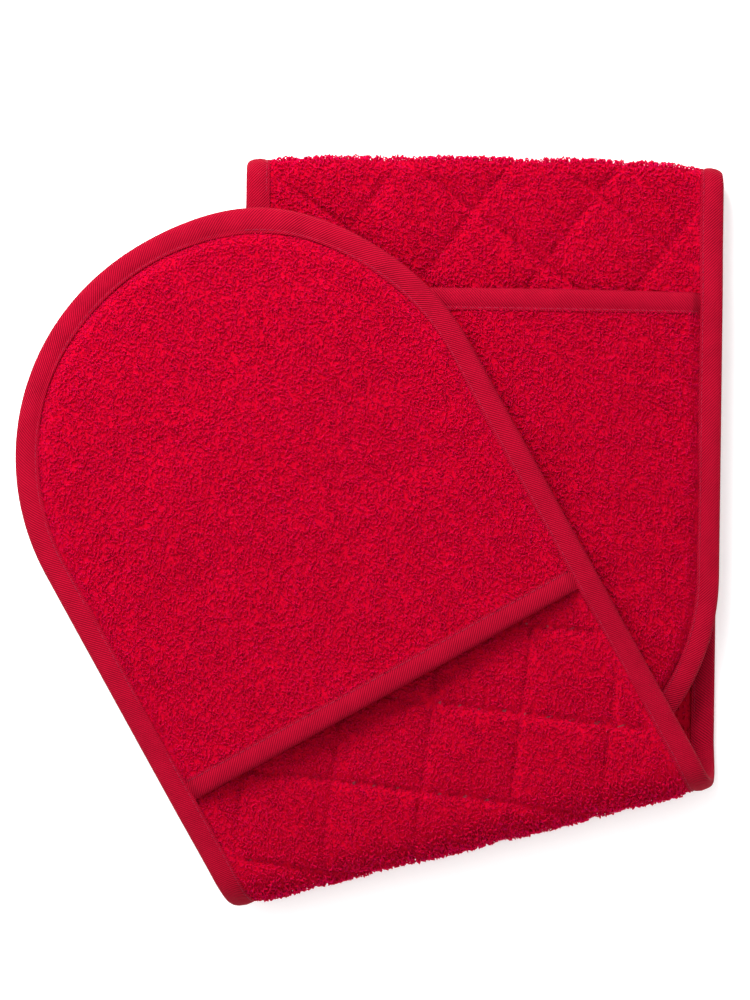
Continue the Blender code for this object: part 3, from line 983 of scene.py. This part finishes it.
class MakePalmSideTerry(bpy.types.Operator):
    """Makes the palm-side terry, which lies inside the folds, in two halves"""

    bl_idname = "oven_glove.palm_side_terry"
    bl_label = "Palm-side terry"

    def execute(self, context):
        step = 2.8 * MM
        across = columns(step)
        for half, make_rows in (("flap", flap_half_rows), ("tucked", tucked_half_rows)):
            patch = Patch(make_rows(step, STEP), across)
            depth = palm_face(patch)
            cloth = cloth_shell(f"palm_side_terry_{half}_half", patch.lay(depth - CLOTH), patch.lay(depth))
            dress(cloth, "cotton_terry_ground_painted_shade")
            rows = make_rows(step, PILE_EDGE)
            if half == "flap":
                turn = next(k for k, row in enumerate(rows) if row[0] == "fold")
                parts = (("inner", rows[:turn + 1]), ("raised", rows[turn:]))
            else:
                parts = (("inner", rows),)
            pieces = []
            for place, some in parts:
                seen = Patch(some, across)
                high = np.clip(quilted_stand(seen), 0.5, 1.0)
                loops = pile(f"palm_side_pile_{half}_{place}", seen, palm_face(seen), high,
                             31 + len(half), PALM_PILE, outward=1)
                pieces.append(loops)
            hold((cloth, *pieces), half)
            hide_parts(*nodes_of("palm_side_terry", half))
        return {"FINISHED"}


class MakeWadding(bpy.types.Operator):
    """Makes the fibre filling between the two terries"""

    bl_idname = "oven_glove.wadding"
    bl_label = "Wadding"

    def execute(self, context):
        step = 3.4 * MM
        across = columns(step)
        for half, rows in (("flap", flap_half_rows), ("tucked", tucked_half_rows)):
            patch = Patch(rows(step, 14 * MM), across)
            upper = hand_face(patch) + CLOTH
            lower = palm_face(patch) - CLOTH
            middle = (upper + lower) / 2
            thick = np.maximum((lower - upper) / 2 - 0.5 * MM, 0.05 * MM)
            upper = middle - thick
            lower = middle + thick
            filling = cloth_shell(f"wadding_{half}_half", patch.lay(upper), patch.lay(lower))
            dress(filling, "polyester_wadding")
            hold((filling,), half)
            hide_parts(*nodes_of("wadding", half))
        return {"FINISHED"}


class MakePockets(bpy.types.Operator):
    """Makes the two plain terry pockets and their taped mouths"""

    bl_idname = "oven_glove.pockets"
    bl_label = "Pockets"

    def execute(self, context):
        step = 2.4 * MM
        across = columns(step)
        ends = (("top", "flap", FLAP_MOUTH, FLAP_CENTRE, FLAP),
                ("tucked", "main", TUCKED_MOUTH, TUCKED_CENTRE, HELD))
        for prefix, kind, mouth, centre, body in ends:
            patch = Patch(pocket_rows(kind, mouth + STEP, centre, step, STEP), across)
            depth = pocket_face(patch, mouth)
            cloth = cloth_shell(f"{prefix}_pocket", patch.lay(depth), patch.lay(depth + CLOTH))
            dress(cloth, "cotton_terry_ground_painted_shade")
            rows = pocket_rows(kind, mouth + MOUTH_WIDTH - 0.4 * MM, centre, step, PILE_EDGE)
            middle = next(k for k, row in enumerate(rows) if row[2](0.0) > centre - 8 * MM)
            pieces = []
            for place, some in (("mouth_half", rows[:middle + 1]), ("tip_half", rows[middle:])):
                seen = Patch(some, across)
                loops = pile(f"{prefix}_pocket_pile_{place}", seen, pocket_face(seen, mouth), plain_stand(seen),
                             50 + len(prefix))
                pieces.append(loops)
            for piece in (cloth, *pieces):
                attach(piece, body)
            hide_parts(f"{prefix}_pocket_terry")
            self.tape_mouth(prefix, kind, mouth, centre, body)
        return {"FINISHED"}

    def tape_mouth(self, prefix, kind, mouth, centre, body):
        close = spread(6.5 * MM, 12.5 * MM, MM)
        insets = np.concatenate((close, spread(12.5 * MM, END_RADIUS, 3 * MM), (END_RADIUS,)))
        across = np.concatenate((insets - END_RADIUS, (END_RADIUS - insets[:-1])[::-1]))
        sections = []
        seam = []
        for u in across:
            probe = Patch([(kind, 1.0, at(mouth + MOUTH_WIDTH))], np.array([u, u + 1e-6]))
            top = float(pocket_face(probe, mouth)[0, 0]) - 0.9 * MM
            inset = END_RADIUS - abs(u)
            top += 1.4 * MM * (1 - float(smooth((inset - 7.2 * MM) / (1.8 * MM))))
            thick = 2.6 * MM * float(smooth((inset - 7 * MM) / (9 * MM))) + 0.5 * MM
            sections.append([LAY[kind](*map(np.array, (u, mouth + back, depth)))
                             for back, depth in tape_outline(top, top + thick + TAPE, MOUTH_WIDTH)])
            if inset > BINDING_WIDTH + MM:
                seam.append(LAY[kind](*map(np.array, (u, mouth + MOUTH_WIDTH - SEAM_INSET, top + 0.4 * MM))))
        lengths = across - across[0]
        tape = tube_sections(f"{prefix}_mouth_tape", np.array(sections), lengths)
        dress(tape, "twill_mouth_tape")
        thread = stitches(f"{prefix}_mouth_stitching", [seam])
        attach(tape, body)
        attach(thread, body)
        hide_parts(f"{prefix}_mouth_binding")


class MakeEdgeBinding(bpy.types.Operator):
    """Makes the twill tape folded over the strip's edge, and its stitching"""

    bl_idname = "oven_glove.edge_binding"
    bl_label = "Edge binding"

    def execute(self, context):
        step = 2.5 * MM
        for half, make_rows, kind, centre in (("flap", flap_half_rows, "flap", FLAP_CENTRE),
                                              ("tucked", tucked_half_rows, "main", TUCKED_CENTRE)):
            route = edge_route(make_rows(step, 0.0, centre), kind, centre, step)
            tape = edge_binding(f"edge_tape_{half}_half", route)
            dress(tape, "twill_edge_tape")
            thread = stitches(f"edge_stitching_{half}_half", seam_lines(route))
            hold((tape, thread), half)
            if half == "flap":
                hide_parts("edge_binding_flap", "edge_binding_fold_left", "edge_binding_fold_right")
            else:
                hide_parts("edge_binding_main")
        return {"FINISHED"}


class MakeStage(bpy.types.Operator):
    """Sets the pale floor, the soft studio light and the camera above the glove"""

    bl_idname = "oven_glove.stage"
    bl_label = "Stage"

    def execute(self, context):
        scene = context.scene
        scene.view_settings.view_transform = "Standard"
        floor = mesh_object("floor", [(-3, -3, 0), (3, -3, 0), (3, 3, 0), (-3, 3, 0)], [(0, 1, 2, 3)])
        floor.location.z = -1.5 * MM
        # White paper: matt, and glowing a little so that its shadows stay pale
        _, shader = new_material("white_paper_floor")
        surface(shader, {"Base Color": (0.93, 0.93, 0.93, 1.0), "Roughness": 0.9,
                         "Emission Color": (1.0, 1.0, 1.0, 1.0), "Emission Strength": 0.3})
        floor.data.materials.append(bpy.data.materials["white_paper_floor"])
        world = bpy.data.worlds.new("studio")
        world.use_nodes = True
        world.node_tree.nodes["Background"].inputs["Color"].default_value = (1.0, 1.0, 1.0, 1.0)
        world.node_tree.nodes["Background"].inputs["Strength"].default_value = 0.55
        scene.world = world
        for name, place, size, power in (
            ("key", (-0.30, 0.60, 0.62), 0.4, 11.5),
            ("fill", (0.7, -0.5, 1.0), 1.0, 2.0),
            ("overhead", (-0.45, 0.1, 1.1), 1.2, 8.0),
        ):
            data = bpy.data.lights.new(name, "AREA")
            data.shape = "SQUARE"
            data.size = size
            data.energy = power
            lamp = bpy.data.objects.new(name, data)
            lamp.location = place
            lamp.rotation_euler = Vector(place).to_track_quat("Z", "Y").to_euler()
            scene.collection.objects.link(lamp)
        view = bpy.data.cameras.new("camera")
        view.lens = 121.0
        view.sensor_width = 36.0
        view.clip_start = 0.05
        camera = bpy.data.objects.new("camera", view)
        camera.location = (-0.04105, -0.0044, 1.315)
        camera.rotation_euler = (0.0, 0.0, math.radians(0.75))
        scene.collection.objects.link(camera)
        scene.camera = camera
        return {"FINISHED"}


class OvenGlovePanel(bpy.types.Panel):
    """Lists the glove's pieces and its sizes"""

    bl_idname = "VIEW3D_PT_oven_glove"
    bl_label = "Oven Glove"
    bl_space_type = "VIEW_3D"
    bl_region_type = "UI"
    bl_category = "Oven Glove"

    def draw(self, context):
        layout = self.layout
        for step in STEPS:
            layout.operator(step.bl_idname)
        for name in OvenGloveSettings.__annotations__:
            layout.prop(context.scene.oven_glove, name)


STEPS = (SwellCloth, MakeHandSideTerry, MakePalmSideTerry, MakeWadding, MakePockets, MakeEdgeBinding, MakeStage)


def register():
    for cls in (OvenGloveSettings, *STEPS, OvenGlovePanel):
        bpy.utils.register_class(cls)
    bpy.types.Scene.oven_glove = bpy.props.PointerProperty(type=OvenGloveSettings)


def unregister():
    del bpy.types.Scene.oven_glove
    for cls in reversed((OvenGloveSettings, *STEPS, OvenGlovePanel)):
        bpy.utils.unregister_class(cls)


def main():
    register()
    for step in STEPS:
        area, operator = step.bl_idname.split(".")
        getattr(getattr(bpy.ops, area), operator)()
    for kind in list(bpy.data.collections["terry_loops"].objects):
        bpy.data.objects.remove(kind)
    bpy.data.collections.remove(bpy.data.collections["terry_loops"])


if __name__ == "__main__":
    main()
